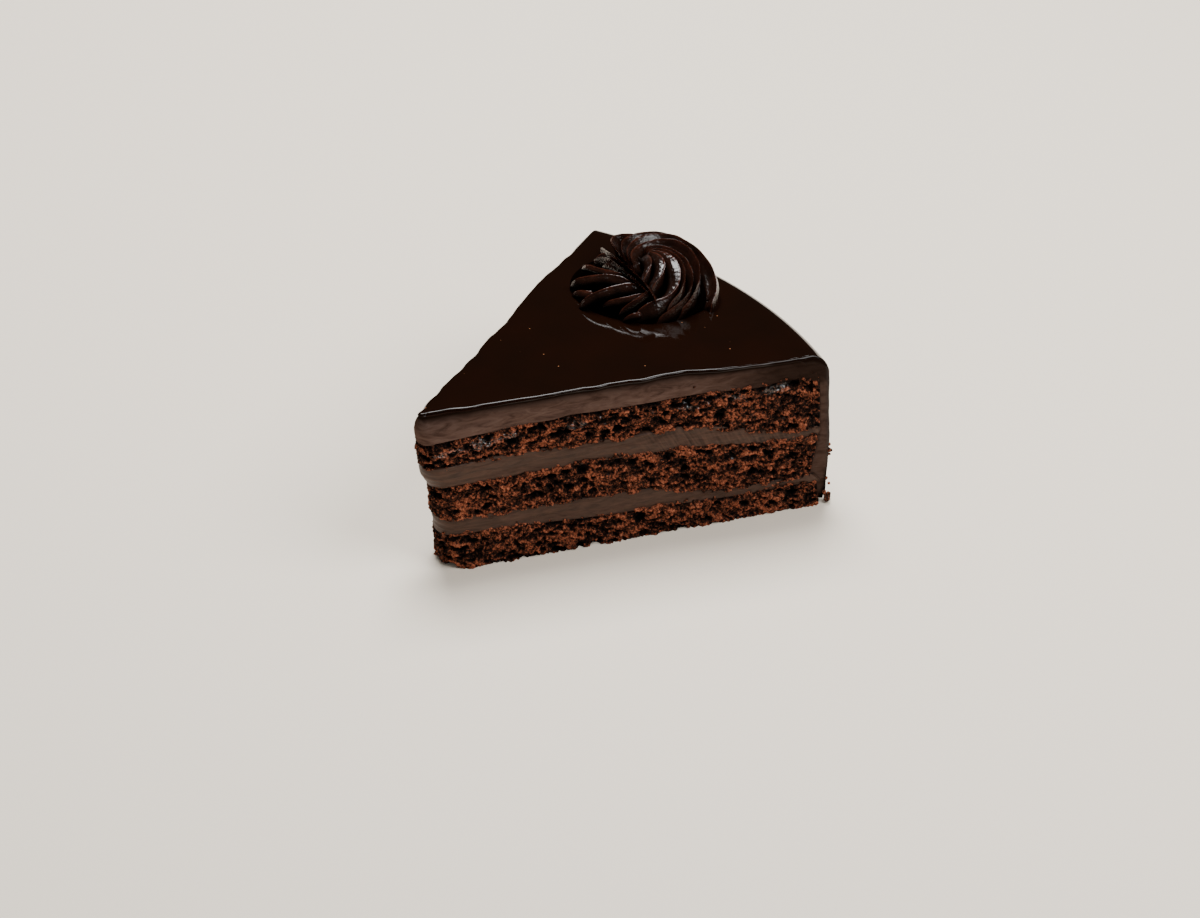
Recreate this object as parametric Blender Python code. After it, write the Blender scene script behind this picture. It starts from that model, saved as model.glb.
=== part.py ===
"""A slice of layered chocolate cake, cut from a round cake that is coated with ganache.

Three sponge layers lie on each other with two layers of chocolate filling between them. A ganache coat
covers the top and the round outer wall, and a piped rosette sits on it near the rim. The cake was cut
twice towards its middle, so the slice's two cut faces show every layer.

Metres, +Z up. The tip points to -X and the rim to +X. The near cut faces -Y and the far cut faces +Y.
The origin is the middle of the bounding box, on the surface that the slice stands on.
"""

import math

import bmesh
import bpy
from mathutils import Matrix, Vector

MM = 0.001
GAP = 0.3 * MM  # between pieces that touch
COLLECTION = "chocolate_cake_slice"

# The round cake. While the slice is shaped, its origin is where the two cuts would meet at the top.
CAKE_RADIUS = 110.7 * MM
CAKE_AXIS = Vector((-11.9, -6.4)) * MM
CAKE_HEIGHT = 42.6 * MM
CUT_HALF_ANGLE = math.radians(24.25)

# The tip is sharp in the ganache and crumbled to a blunt end at the base. Both cuts lean out at the base.
TIP_TOP_RADIUS = 1.0 * MM
TIP_BASE_RADIUS = 7.0 * MM
TIP_BASE_CENTRE = Vector((10.8, -3.8)) * MM
RIM_FLARE = 3.4 * MM  # how far a cut face stands out at the base beside the rim

# Heights in mm of the top of each layer at the tip, the middle and the rim: first beside the near cut,
# then beside the far cut. Last comes the stretch, as shares of the slice's length from the tip, in which
# the middle height becomes the rim height.
SURFACES = {
    "sponge_bottom": ((9.7, 8.0, 7.0), (9.0, 8.6, 8.0), (0.50, 0.75)),
    "filling_lower": ((13.2, 12.4, 8.2), (12.6, 12.2, 10.4), (0.50, 0.75)),
    "sponge_middle": ((22.9, 22.9, 19.3), (22.4, 22.8, 21.4), (0.60, 0.95)),
    "filling_upper": ((28.0, 27.4, 21.4), (27.2, 27.0, 24.4), (0.60, 0.95)),
    "sponge_top": ((34.7, 35.6, 36.1), (34.4, 35.4, 36.0), (0.60, 0.95)),
    "ganache_coat": ((42.2, 42.6, 41.4), (42.0, 42.4, 41.2), (0.60, 0.95)),
}
LAYERS = list(SURFACES)[:-1]  # from the bottom up, without the coat

# The coat's wall in mm, at the base and then at the top of each layer. It is thicker beside the lower
# filling, where ganache filled the broken corner of the middle sponge.
WALL_NEAR = (2.6, 3.4, 5.2, 2.6, 2.4, 2.4)
WALL_FAR = (2.6, 2.8, 3.4, 2.6, 2.4, 2.4)
SHOULDER_RADIUS = 5.0 * MM
UNDERSIDE_SHARE = 0.94  # how much of the sponge's top lies below the flat part of the coat

# The rosette is a rope of ganache from a star nozzle, turned once around its own middle.
ROSETTE_CENTRE = Vector((77.6, 9.7)) * MM
ROSETTE_HALF_LENGTH = 18.4 * MM
ROSETTE_HALF_WIDTH = 17.5 * MM
ROSETTE_TURN = math.radians(-39.8)  # its long axis, from +X
ROSETTE_STRETCH = (0.60, 0.96)  # the stretch of the slice that it stands on, and leans with
ROSETTE_GAP = 0.45 * MM  # clears the facets of the glaze
ROSETTE_HEIGHT = 10.2 * MM
EYE_DEPTH = 3.4 * MM
CREST_REACH = 0.46  # where the crest of the rope runs, as a share of the way from the eye to the outline
CREST_UP = 0.6  # the share of the rosette's facets that lies between its outline and the crest
RIDGES = 10
RIDGE_DEPTH = 1.6 * MM
RIDGE_ROUNDNESS = 0.8
RIDGE_TWIST = math.radians(180)  # how far a ridge runs round on its way from the outline to the eye
START_ANGLE = math.radians(185)  # the middle of the low end where the rope begins
START_WIDTH = math.radians(46)
START_DROP = 0.42  # how much lower the rope is there, as a share of its height

# Facets
ALONG_TOP, ALONG_SHOULDER, ALONG_WALL, ACROSS = 14, 5, 5, 12
ALONG_COAT = ALONG_TOP + ALONG_SHOULDER + ALONG_WALL
AROUND_RIDGE, UP_ROSETTE = 8, 20


def ease(low, high, value):
    """0 below low and 1 above high, with a smooth S between them."""
    share = min(1.0, max(0.0, (value - low) / (high - low)))
    return share * share * (3 - 2 * share)


def mix(first, second, share):
    return first + (second - first) * share


def surface_height(name, along, across):
    """The top of a layer, at a share of the way from tip to rim and of the way from near cut to far cut."""
    near, far, (start, end) = SURFACES[name]
    tip, middle, rim = (mix(n, f, across) * MM for n, f in zip(near, far, strict=True))
    return mix(tip, middle, ease(0.0, 0.5, along)) + (rim - middle) * ease(start, end, along)


def reach_circle(start, direction, radius):
    """Where a line from a point inside the cake meets the circle of this radius round the cake's axis."""
    offset = start - CAKE_AXIS
    along = offset.dot(direction)
    return start + direction * (math.sqrt(along**2 - offset.length_squared + radius**2) - along)


def tip_point(across, height):
    """A point on the round end of the tip. The end grows blunter towards the base."""
    share = height / CAKE_HEIGHT
    top_centre = Vector((TIP_TOP_RADIUS / math.sin(CUT_HALF_ANGLE), 0))
    centre = mix(TIP_BASE_CENTRE, top_centre, share)
    radius = mix(TIP_BASE_RADIUS, TIP_TOP_RADIUS, share)
    angle = -math.pi / 2 - CUT_HALF_ANGLE - across * (math.pi - 2 * CUT_HALF_ANGLE)
    return centre + radius * Vector((math.cos(angle), math.sin(angle)))


def rim_angle(side, height, radius):
    """The angle round the cake's axis where the near cut (side -1) or the far cut (1) has this radius."""
    cut = Vector((math.cos(CUT_HALF_ANGLE), side * math.sin(CUT_HALF_ANGLE)))
    corner = reach_circle(Vector((0, 0)), cut, CAKE_RADIUS) - CAKE_AXIS
    flare = RIM_FLARE / CAKE_RADIUS * (1 - height / CAKE_HEIGHT)
    angle = math.atan2(corner.y, corner.x) + side * flare
    outer = CAKE_AXIS + CAKE_RADIUS * Vector((math.cos(angle), math.sin(angle)))
    start = tip_point((side + 1) / 2, height)
    inner = reach_circle(start, (outer - start).normalized(), radius) - CAKE_AXIS
    return math.atan2(inner.y, inner.x)


def slice_point(along, across, height, radius):
    """A point of the slice, on a straight line from the tip's round end to the circle of this radius."""
    angle = mix(rim_angle(-1, height, radius), rim_angle(1, height, radius), across)
    rim = CAKE_AXIS + radius * Vector((math.cos(angle), math.sin(angle)))
    flat = mix(tip_point(across, height), rim, along)
    return Vector((flat.x, flat.y, height))


def wall_radius(level, across):
    """The inside of the coat's wall, at the base (0) or at the top of a layer (1 to 5)."""
    return CAKE_RADIUS - mix(WALL_NEAR[level], WALL_FAR[level], across) * MM


def finish(mesh, name):
    """Turns a bmesh with its faces into the named object, in the slice's collection."""
    bmesh.ops.recalc_face_normals(mesh, faces=mesh.faces)
    data = bpy.data.meshes.new(name)
    mesh.to_mesh(data)
    mesh.free()
    piece = bpy.data.objects.new(name, data)
    bpy.data.collections[COLLECTION].objects.link(piece)
    return piece


def slab(name, columns, lower, upper):
    """A closed piece between two surfaces: a grid is extruded, and each copy of it is laid on its surface.

    A surface is a function of the shares of the way along the slice and across it.
    """
    mesh = bmesh.new()
    bmesh.ops.create_grid(mesh, x_segments=columns, y_segments=ACROSS, size=0.5)
    below = mesh.verts[:]
    raised = bmesh.ops.extrude_face_region(mesh, geom=mesh.faces[:], use_keep_orig=True)["geom"]
    above = [element for element in raised if isinstance(element, bmesh.types.BMVert)]
    for verts, surface in ((below, lower), (above, upper)):
        for vert in verts:
            vert.co = surface(vert.co.x + 0.5, vert.co.y + 0.5)
    return finish(mesh, name)


def layer(level):
    """A sponge or filling layer, from the tip to the inside of the coat's wall. The lowest one is level 0."""

    def face(boundary, shift):
        def place(along, across):
            height = surface_height(LAYERS[boundary - 1], along, across) + shift if boundary else 0.0
            return slice_point(along, across, height, wall_radius(boundary, across) - GAP)

        return place

    return slab(LAYERS[level], ALONG_TOP, face(level, GAP / 2), face(level + 1, -GAP / 2))


def coat_station(along):
    """A place along the coat: over the top (0 to 1), round the shoulder (1 to 2), down the wall (2 to 3)."""
    step = along * ALONG_COAT
    if step <= ALONG_TOP:
        return step / ALONG_TOP
    if step <= ALONG_TOP + ALONG_SHOULDER:
        return 1 + (step - ALONG_TOP) / ALONG_SHOULDER
    return 2 + (step - ALONG_TOP - ALONG_SHOULDER) / ALONG_WALL


def coat_outside(along, across):
    station = coat_station(along)
    top = surface_height("ganache_coat", min(station, 1.0), across)
    if station <= 1:
        return slice_point(station, across, top, CAKE_RADIUS - SHOULDER_RADIUS)
    bend = math.pi / 2 * min(station - 1, 1.0)
    height = top - SHOULDER_RADIUS * (1 - math.cos(bend))
    radius = CAKE_RADIUS - SHOULDER_RADIUS * (1 - math.sin(bend))
    return slice_point(1.0, across, height * min(1.0, 3 - station), radius)


def coat_inside(along, across):
    station = coat_station(along)
    if station <= 2:
        flat = min(station, 1.0) * UNDERSIDE_SHARE + max(station - 1, 0.0) * (1 - UNDERSIDE_SHARE)
        height = surface_height("sponge_top", flat, across) + GAP / 2
        return slice_point(flat, across, height, wall_radius(len(LAYERS), across))
    boundary = round((3 - station) * len(LAYERS))
    height = surface_height(LAYERS[boundary - 1], 1.0, across) if boundary else 0.0
    return slice_point(1.0, across, height, wall_radius(boundary, across))


def rosette_point(around, up):
    """On the rosette, at a share of the turn and a share of the way from its outline up to the eye.

    The grid is twisted, so that each ridge and each groove follows one column of it.
    """
    angle = 2 * math.pi * around + RIDGE_TWIST * up
    rise = min(1.0, up / CREST_UP) * math.pi / 2
    inward = max(0.0, (up - CREST_UP) / (1 - CREST_UP))
    reach = (CREST_REACH + (1 - CREST_REACH) * math.cos(rise)) * (1 - inward)
    away = math.remainder(angle - START_ANGLE, 2 * math.pi)
    start = math.exp(-((away / START_WIDTH) ** 2)) * ease(0.15, 0.5, reach)
    height = (ROSETTE_HEIGHT * math.sin(rise) - EYE_DEPTH * inward**2) * (1 - START_DROP * start)
    ridge = abs(math.sin(RIDGES * math.pi * around)) ** RIDGE_ROUNDNESS - 1
    depth = RIDGE_DEPTH * ridge * ease(0.05, 0.6, reach)
    spread = reach * (1 + depth * math.cos(rise) / ROSETTE_HALF_LENGTH)
    lift = height + depth * math.sin(rise) * ease(0.0, 0.2, up)
    return Vector((
        ROSETTE_HALF_LENGTH * math.cos(angle) * spread,
        ROSETTE_HALF_WIDTH * math.sin(angle) * spread,
        max(lift, 0.0),
    ))


def rosette():
    """The piped rosette: a low dome with a dimpled eye and ridges that wind from its outline to the eye."""
    mesh = bmesh.new()
    bmesh.ops.create_grid(mesh, x_segments=RIDGES * AROUND_RIDGE, y_segments=UP_ROSETTE, size=0.5)
    for vert in mesh.verts:
        vert.co = rosette_point(vert.co.x + 0.5, vert.co.y + 0.5)
    bmesh.ops.remove_doubles(mesh, verts=mesh.verts, dist=0.01 * MM)
    bmesh.ops.holes_fill(mesh, edges=mesh.edges)
    piece = finish(mesh, "rosette")
    behind, ahead = (surface_height("ganache_coat", along, 0.5) for along in ROSETTE_STRETCH)
    slope = math.atan((ahead - behind) / (2 * ROSETTE_HALF_LENGTH))
    piece.location = (ROSETTE_CENTRE.x, ROSETTE_CENTRE.y, (behind + ahead) / 2 + ROSETTE_GAP)
    lean = Matrix.Rotation(-slope, 3, "Y")
    piece.rotation_euler = (lean @ Matrix.Rotation(ROSETTE_TURN, 3, "Z")).to_euler()
    return piece


def material(name, colour, roughness):
    made = bpy.data.materials.new(name)
    made.use_nodes = True
    shader = made.node_tree.nodes["Principled BSDF"]
    shader.inputs["Base Color"].default_value = (*colour, 1.0)
    shader.inputs["Roughness"].default_value = roughness
    shader.inputs["Metallic"].default_value = 0.0
    return made


def centre_on_base(pieces):
    """Moves the pieces so that the origin is the middle of their box, at its bottom."""
    bpy.context.view_layer.update()
    corners = [piece.matrix_world @ vert.co for piece in pieces for vert in piece.data.vertices]
    low = Vector(min(corner[axis] for corner in corners) for axis in range(3))
    high = Vector(max(corner[axis] for corner in corners) for axis in range(3))
    shift = Vector(((low.x + high.x) / 2, (low.y + high.y) / 2, low.z))
    for piece in pieces:
        piece.location -= shift


def main():
    for old in list(bpy.data.objects):
        bpy.data.objects.remove(old)
    bpy.context.scene.collection.children.link(bpy.data.collections.new(COLLECTION))
    sponge = material("chocolate_sponge", (0.050, 0.013, 0.006), 0.85)
    filling = material("chocolate_filling", (0.052, 0.032, 0.025), 0.45)
    ganache = material("ganache", (0.013, 0.005, 0.003), 0.15)
    pieces = [layer(level) for level in range(len(LAYERS))]
    for piece in pieces:
        piece.data.materials.append(sponge if piece.name.startswith("sponge") else filling)
    coating = [slab("ganache_coat", ALONG_COAT, coat_inside, coat_outside), rosette()]
    for piece in coating:
        piece.data.materials.append(ganache)
    centre_on_base(pieces + coating)


main()
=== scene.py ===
"""A slice of layered chocolate cake with a poured ganache glaze and a piped rosette, laid out as a Blender add-on.

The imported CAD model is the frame. Every piece is a surface worked out with numpy in millimetres, in the frame in
which the slice was shaped: its origin is where the two cuts would meet at the top of the cake, +X runs to the rim
and +Z is up. Then it is moved into the CAD model's own place, which is read from the coat's box.
"""

import math

import bpy
import numpy as np
from bpy.props import FloatProperty, FloatVectorProperty, PointerProperty
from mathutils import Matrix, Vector


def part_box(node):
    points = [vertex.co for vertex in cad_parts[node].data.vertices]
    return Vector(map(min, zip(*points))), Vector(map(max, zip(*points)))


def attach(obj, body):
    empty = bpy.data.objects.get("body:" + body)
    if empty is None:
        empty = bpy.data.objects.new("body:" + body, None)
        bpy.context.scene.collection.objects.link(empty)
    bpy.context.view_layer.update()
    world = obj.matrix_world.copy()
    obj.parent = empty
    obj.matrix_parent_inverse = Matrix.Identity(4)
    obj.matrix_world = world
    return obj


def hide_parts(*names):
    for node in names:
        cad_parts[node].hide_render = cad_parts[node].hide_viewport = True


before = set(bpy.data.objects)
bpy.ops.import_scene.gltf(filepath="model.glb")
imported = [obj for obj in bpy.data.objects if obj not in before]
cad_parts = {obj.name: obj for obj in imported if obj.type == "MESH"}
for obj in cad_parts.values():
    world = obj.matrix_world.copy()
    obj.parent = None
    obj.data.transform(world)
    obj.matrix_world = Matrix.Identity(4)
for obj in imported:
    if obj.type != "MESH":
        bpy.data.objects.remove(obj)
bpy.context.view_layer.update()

bl_info = {
    "name": "Chocolate cake slice",
    "version": (1, 0, 0),
    "blender": (4, 5, 0),
    "location": "View3D > Sidebar > Cake",
    "description": "Builds a slice of layered chocolate cake with crumb, fillings, glaze and a piped rosette",
    "category": "Add Mesh",
}

MM = 0.001

# The round cake, in millimetres, as the CAD model has it.
CAKE_RADIUS = 110.7
CAKE_AXIS = np.array([-11.9, -6.4])
CAKE_HEIGHT = 42.6
CUT_HALF_ANGLE = math.radians(24.25)
TIP_TOP_RADIUS = 1.0
TIP_BASE_RADIUS = 7.0
TIP_BASE_CENTRE = np.array([10.8, -3.8])
RIM_FLARE = 3.4
CUT_LENGTH = 92.0  # of a cut face, from the tip to the rim
TIP_LENGTH = 8.0  # round the tip
RIM_LENGTH = 84.0  # along the rim
FAR_AWAY = 99.0  # a distance at which nothing counts any more
SHOULDER_RADIUS = 5.0

# Heights of the top of each layer at the tip, the middle and the rim: first beside the near cut, then beside the
# far cut. Last comes the stretch, as shares of the slice's length, in which the middle height becomes the rim's.
SURFACES = {
    "base": ((0.0, 0.0, 0.0), (0.0, 0.0, 0.0), (0.50, 0.75)),
    "sponge_bottom": ((9.7, 8.0, 7.0), (9.0, 8.6, 8.0), (0.50, 0.75)),
    "filling_lower": ((13.2, 12.4, 8.2), (12.6, 12.2, 10.4), (0.50, 0.75)),
    "sponge_middle": ((22.9, 22.9, 19.3), (22.4, 22.8, 21.4), (0.60, 0.95)),
    "filling_upper": ((28.0, 27.4, 21.4), (27.2, 27.0, 24.4), (0.60, 0.95)),
    "sponge_top": ((34.7, 35.6, 36.1), (34.4, 35.4, 36.0), (0.60, 0.95)),
    "ganache_coat": ((42.2, 42.6, 41.4), (42.0, 42.4, 41.2), (0.60, 0.95)),
}
LEVELS = list(SURFACES)
WALL_NEAR = (2.6, 3.4, 5.2, 2.6, 2.4, 2.4)  # thickness of the coat's wall at the top of each layer, from the base up
WALL_FAR = (2.6, 2.8, 3.4, 2.6, 2.4, 2.4)


# ---------------------------------------------------------------- numbers


def ease(low, high, value):
    """0 below low and 1 above high, with a smooth S between them: t squared times (3 - 2t)."""
    share = np.clip((value - low) / (high - low), 0.0, 1.0)
    return share * share * (3 - 2 * share)


def mix(first, second, share):
    return first + (second - first) * share


def bell(distance, width):
    """1 at no distance, falling to 0 as e to the power of minus (distance / width) squared."""
    return np.exp(-((distance / width) ** 2))


def stacked(*columns):
    """These numbers, spread to one shape, as points."""
    return np.stack(np.broadcast_arrays(*columns), -1)


def raised(plan, height):
    """Points in plan, at these heights."""
    return stacked(plan[..., 0], plan[..., 1], height)


def chance(cells, seed):
    """A repeatable number from 0 to 1 for each whole-number cell.

    Its three counts are multiplied by large odd numbers and joined, and high bits are folded onto low ones.
    """
    x, y, z = (cells[..., axis].astype(np.uint32) for axis in range(3))
    mixed = x * np.uint32(0x9E3779B1) ^ y * np.uint32(0x85EBCA77) ^ z * np.uint32(0xC2B2AE3D)
    mixed = mixed + np.uint32(seed * 0x27D4EB2F & 0xFFFFFFFF)
    mixed = (mixed ^ mixed >> np.uint32(15)) * np.uint32(0x2C1B3C6D)
    mixed = (mixed ^ mixed >> np.uint32(12)) * np.uint32(0x297A2D39)
    return (mixed ^ mixed >> np.uint32(15)) / 2.0**32


def drift(points, size, seed):
    """Smooth noise from -1 to 1 with features of this size in mm.

    The chances of the eight corners of the cell round a point are blended by eased shares of the way across it.
    """
    scaled = points / np.asarray(size, float)
    whole = np.floor(scaled)
    share = scaled - whole
    share = share**3 * (share * (share * 6 - 15) + 10)
    cell = whole.astype(np.int64)
    total = np.zeros(points.shape[:-1])
    for corner in np.ndindex(2, 2, 2):
        weight = np.prod(np.where(np.array(corner), share, 1 - share), axis=-1)
        total += weight * chance(cell + np.array(corner), seed)
    return 2 * total - 1


def scattered(points, size, seed):
    """One spot is scattered in each cell of this size. For the point's own cell and the 26 round it, in turn: the
    spot's own chance and its distance in cells, squared."""
    scaled = points / np.asarray(size, float)
    cell = np.floor(scaled).astype(np.int64)
    for step in np.ndindex(3, 3, 3):
        there = cell + np.array(step) - 1
        spot = there + np.stack([chance(there, seed + k) for k in range(3)], -1)
        yield chance(there, seed + 3), np.sum((spot - scaled) ** 2, axis=-1)


def grains(points, size, seed):
    """The distance to the nearest of the scattered spots, in cells, and its own chance."""
    nearest, own = np.full(points.shape[:-1], np.inf), np.zeros(points.shape[:-1])
    for luck, gap in scattered(points, size, seed):
        own = np.where(gap < nearest, luck, own)
        nearest = np.minimum(gap, nearest)
    return np.sqrt(nearest), own


def hollows(points, size, seed, share, smallest, largest):
    """How deep each point lies in scattered round hollows, in cells.

    This share of the scattered spots holds a ball. A point at a distance below the ball's radius lies
    sqrt(radius squared - distance squared) deep, and the deepest of the neighbouring balls counts.
    """
    deep = np.zeros(points.shape[:-1])
    for luck, gap in scattered(points, size, seed):
        radius = np.where(luck < share, mix(largest, smallest, luck / share), 0.0)
        deep = np.maximum(deep, np.sqrt(np.maximum(radius**2 - gap, 0.0)))
    return deep


# ---------------------------------------------------------------- the slice's plan


def surface_height(name, along, across):
    """The top of a layer, at a share of the way from tip to rim and of the way from near cut to far cut."""
    near, far, (start, end) = SURFACES[name]
    tip, middle, rim = (mix(n, f, across) for n, f in zip(near, far, strict=True))
    return mix(tip, middle, ease(0.0, 0.5, along)) + (rim - middle) * ease(start, end, along)


def reach_circle(start, direction, radius):
    """Where a line from a point inside the cake meets the circle of this radius round the cake's axis."""
    offset = start - CAKE_AXIS
    along = np.sum(offset * direction, -1)
    way = np.sqrt(along**2 - np.sum(offset**2, -1) + radius**2) - along
    return start + direction * way[..., None]


def turned(angle):
    return np.stack([np.cos(angle), np.sin(angle)], -1)


def tip_point(across, height):
    """A point on the round end of the tip: a circle whose centre and radius run from the base's to the top's."""
    share = np.asarray(height / CAKE_HEIGHT)
    top_centre = np.array([TIP_TOP_RADIUS / math.sin(CUT_HALF_ANGLE), 0.0])
    centre = mix(TIP_BASE_CENTRE, top_centre, share[..., None])
    radius = mix(TIP_BASE_RADIUS, TIP_TOP_RADIUS, share)
    angle = -math.pi / 2 - CUT_HALF_ANGLE - across * (math.pi - 2 * CUT_HALF_ANGLE)
    return centre + radius[..., None] * turned(angle)


def rim_angle(side, height, radius):
    """The angle round the cake's axis where the near cut (side -1) or the far cut (1) has this radius."""
    cut = np.array([math.cos(CUT_HALF_ANGLE), side * math.sin(CUT_HALF_ANGLE)])
    corner = reach_circle(np.zeros(2), cut, np.asarray(CAKE_RADIUS)) - CAKE_AXIS
    flare = RIM_FLARE / CAKE_RADIUS * (1 - height / CAKE_HEIGHT)
    angle = math.atan2(corner[1], corner[0]) + side * flare
    outer = CAKE_AXIS + CAKE_RADIUS * turned(angle)
    start = tip_point((side + 1) / 2, height)
    way = outer - start
    way /= np.linalg.norm(way, axis=-1, keepdims=True)
    inner = reach_circle(start, way, radius) - CAKE_AXIS
    return np.arctan2(inner[..., 1], inner[..., 0])


def slice_point(along, across, height, radius):
    """A point of the slice in plan, on a straight line from the tip's round end to the circle of this radius."""
    angle = mix(rim_angle(-1, height, radius), rim_angle(1, height, radius), across)
    rim = CAKE_AXIS + np.asarray(radius)[..., None] * turned(angle)
    return mix(tip_point(across, height), rim, np.asarray(along)[..., None])


def wall_radius(level, across):
    """The inside of the coat's wall, at the base (0) or at the top of a layer (1 to 5)."""
    return CAKE_RADIUS - mix(WALL_NEAR[level], WALL_FAR[level], across)


def way_round(cut_columns, tip_columns, rim_shares):
    """Shares (along, across) of the closed way round the slice, seen from above clockwise.

    It runs down the near cut from rim to tip, round the tip, up the far cut and back along the rim. The third row
    is the length run so far in mm, and the fourth tells the stretches apart: 0 near, 1 tip, 2 far, 3 rim.
    """
    down = np.linspace(1.0, 0.0, cut_columns, endpoint=False)
    over = np.linspace(0.0, 1.0, tip_columns, endpoint=False)
    back = 1.0 - rim_shares
    along = np.concatenate([down, 0 * over, 1.0 - down, 0 * back + 1.0])
    across = np.concatenate([0 * down, over, 0 * down + 1.0, back])
    run = np.concatenate([
        (1.0 - down) * CUT_LENGTH,
        CUT_LENGTH + over * TIP_LENGTH,
        (1.0 - down) * CUT_LENGTH + CUT_LENGTH + TIP_LENGTH,
        2 * CUT_LENGTH + TIP_LENGTH + rim_shares * RIM_LENGTH,
    ])
    stretch = np.repeat([0, 1, 2, 3], [len(down), len(over), len(down), len(back)])
    return along, across, run, stretch


def outward(plan):
    """The level directions that point out of closed clockwise rows of points: each row's tangent turned left."""
    tangent = np.roll(plan, -1, axis=-2) - np.roll(plan, 1, axis=-2)
    tangent /= np.maximum(np.linalg.norm(tangent, axis=-1, keepdims=True), 1e-9)
    return np.stack([-tangent[..., 1], tangent[..., 0]], -1)


# ---------------------------------------------------------------- from numbers to Blender


def frame_shift():
    """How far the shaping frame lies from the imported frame, in mm, from the coat's box: its outermost rim point
    and the foot of its near corner."""
    low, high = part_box("ganache_coat")
    corner = slice_point(1.0, 0.0, np.asarray(0.0), np.asarray(CAKE_RADIUS))
    return np.array([high.x / MM - CAKE_AXIS[0] - CAKE_RADIUS, low.y / MM - corner[1], 0.0])


def closed_surface(name, parts, attributes, material, nodes):
    """A mesh of closed parts. Each part is a grid of points in mm, whose columns run round it and whose rows run from
    foot to head, with the two poles that close it.

    An attribute is a list with each part's grid of numbers or of vectors; each pole takes the mean of the row beside
    it.
    """
    points, corners, sizes = [], [], []
    base = 0
    for rows, foot, head in parts:
        count, around = rows.shape[:2]
        points += [foot[None], rows.reshape(-1, 3), head[None]]
        index = base + 1 + np.arange(count * around).reshape(count, around)
        after = np.roll(index, -1, axis=1)
        pole = np.full(around, base + 1 + count * around)
        corners += [
            np.stack([index[:-1], index[1:], after[1:], after[:-1]], -1).ravel(),
            np.stack([np.full(around, base), index[0], after[0]], -1).ravel(),
            np.stack([pole, after[-1], index[-1]], -1).ravel(),
        ]
        sizes += [np.full((count - 1) * around, 4), np.full(2 * around, 3)]
        base += 2 + count * around
    points, corners, sizes = np.concatenate(points) + frame_shift(), np.concatenate(corners), np.concatenate(sizes)
    mesh = bpy.data.meshes.new(name)
    mesh.vertices.add(len(points))
    mesh.vertices.foreach_set("co", (points * MM).ravel())
    mesh.loops.add(len(corners))
    mesh.loops.foreach_set("vertex_index", corners)
    mesh.polygons.add(len(sizes))
    mesh.polygons.foreach_set("loop_start", np.concatenate([[0], np.cumsum(sizes)[:-1]]))
    mesh.update(calc_edges=True)
    mesh.shade_smooth()
    for title, grids in attributes.items():
        vector = grids[0].ndim == 3
        flat = [part for g in grids for part in (g[:1].mean(1), g.reshape(-1, *g.shape[2:]), g[-1:].mean(1))]
        layer = mesh.attributes.new(title, "FLOAT_VECTOR" if vector else "FLOAT", "POINT")
        layer.data.foreach_set("vector" if vector else "value", np.concatenate(flat).astype(np.float32).ravel())
    mesh.validate()
    return finish_piece(name, mesh, material, nodes)


def finish_piece(name, mesh, material, nodes):
    """Puts the mesh into the scene as a piece that rides with the slice and stands for these CAD nodes."""
    mesh.materials.append(material)
    piece = bpy.data.objects.new(name, mesh)
    bpy.context.scene.collection.objects.link(piece)
    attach(piece, "root")
    if nodes:
        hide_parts(*nodes)
    return piece


# ---------------------------------------------------------------- materials


def linear(colour):
    """An sRGB hex colour as linear red, green, blue and alpha."""
    parts = [int(colour[at : at + 2], 16) / 255 for at in (1, 3, 5)]
    return (*(p / 12.92 if p <= 0.04045 else ((p + 0.055) / 1.055) ** 2.4 for p in parts), 1.0)


def per(size):
    """The scale that gives a pattern features of this size in mm."""
    return 1 / (size * MM)


def add(tree, kind, inputs=(), links=(), stops=(), output=0, **settings):
    """Adds a node with its settings, input values and, on a colour ramp, its stops, links these sockets to it and
    gives back its output."""
    node = tree.nodes.new("ShaderNode" + kind)
    for key, value in settings.items():
        setattr(node, key, value)
    for key, value in dict(inputs).items():
        node.inputs[key].default_value = value
    for key, socket in dict(links).items():
        tree.links.new(socket, node.inputs[key])
    for number, (place, colour) in enumerate(stops):
        elements = node.color_ramp.elements
        element = elements[number] if number < 2 else elements.new(place)
        element.position, element.color = place, (*colour, 1)
    return node.outputs[output]


def started(name, **shader_values):
    """A new material and its tree, with constants set on its Principled shader's own sockets."""
    made = bpy.data.materials.new(name)
    made.use_nodes = True
    for key, value in shader_values.items():
        made.node_tree.nodes["Principled BSDF"].inputs[key.replace("_", " ")].default_value = value
    return made, made.node_tree


def joined(made, **sockets):
    """The material, with these sockets linked to its Principled shader."""
    for key, socket in sockets.items():
        made.node_tree.links.new(socket, made.node_tree.nodes["Principled BSDF"].inputs[key.replace("_", " ")])
    return made


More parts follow.
